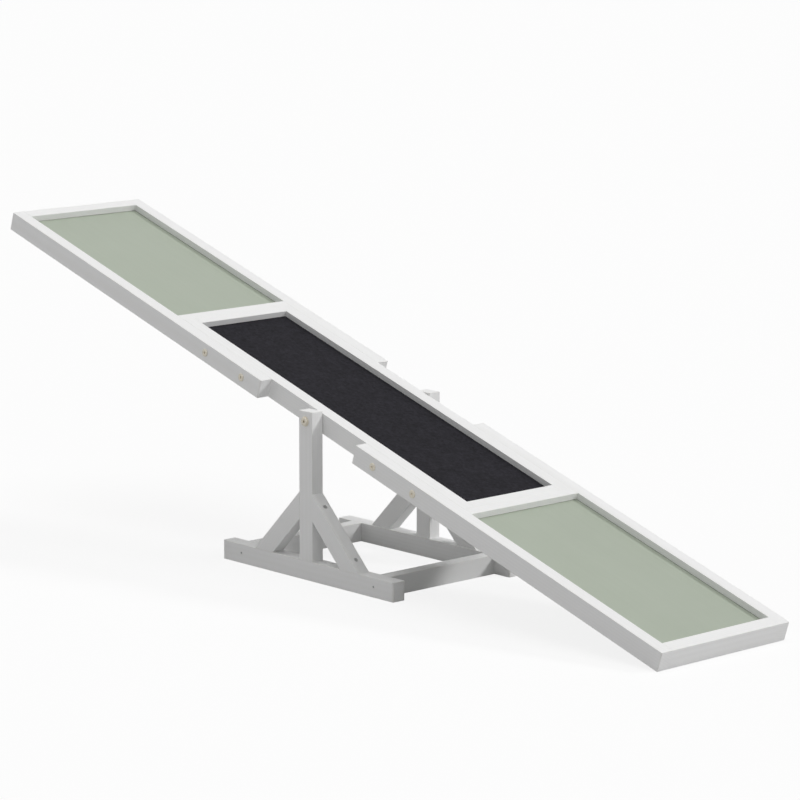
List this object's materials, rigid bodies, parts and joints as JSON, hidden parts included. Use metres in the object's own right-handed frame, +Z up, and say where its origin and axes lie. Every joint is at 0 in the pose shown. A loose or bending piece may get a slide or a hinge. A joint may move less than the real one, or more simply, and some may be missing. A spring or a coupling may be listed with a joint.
{
  "type": "dog agility seesaw",
  "caption": "Low wooden dog agility seesaw: a framed plank with sage end boards and a black anti-slip middle, pivoting on a braced trestle, one end resting on the floor.",
  "frame": {"origin": "on the floor, at the bottom centre of the seesaw's box, under the pivot", "axes": "+X along the plank towards the end that rests on the floor, +Y across it to the far side, +Z up"},
  "size_m": [1.7274, 0.3156, 0.572],
  "materials": {
    "white_paint": "satin white paint on pine",
    "sage_paint": "smooth sage green paint on plywood",
    "board_underside": "white paint on plywood",
    "anti_slip": "fine grit anti-slip sheet",
    "zinc": "pale yellow zinc plate",
    "dark_screw": "dark phosphate",
    "nylon": "natural nylon",
    "beech": "bare beech"
  },
  "bodies": {
    "stand": {"near_foot": "white_paint", "far_foot": "white_paint", "near_post": "white_paint", "far_post": "white_paint", "near_left_brace": "white_paint", "near_right_brace": "white_paint", "far_left_brace": "white_paint", "far_right_brace": "white_paint", "left_stretcher": "white_paint", "right_stretcher": "white_paint", "stretcher_screws": "dark_screw", "brace_screws": "dark_screw", "post_screws": "dark_screw", "pivot_bushes": "nylon"},
    "plank": {"near_left_side_rail": "white_paint", "near_right_side_rail": "white_paint", "far_left_side_rail": "white_paint", "far_right_side_rail": "white_paint", "left_end_rail": "white_paint", "right_end_rail": "white_paint", "left_cross_rail": "white_paint", "right_cross_rail": "white_paint", "near_centre_rail": "white_paint", "far_centre_rail": "white_paint", "centre_left_end_rail": "white_paint", "centre_right_end_rail": "white_paint", "left_board": "sage_paint", "right_board": "sage_paint", "centre_board": "board_underside", "tread": "anti_slip", "joint_bolts": "zinc", "barrel_nuts": "zinc", "frame_dowels": "beech", "pivot_bolts": "zinc", "pivot_washers": "zinc", "pivot_inserts": "zinc"}
  },
  "joints": [
    {"name": "plank_pivot", "type": "hinge", "parent": "stand", "child": "plank", "pos_m": [0, 0, 0.286], "axis": [0, -1, 0], "range_deg": [0, 34.85]}
  ]
}
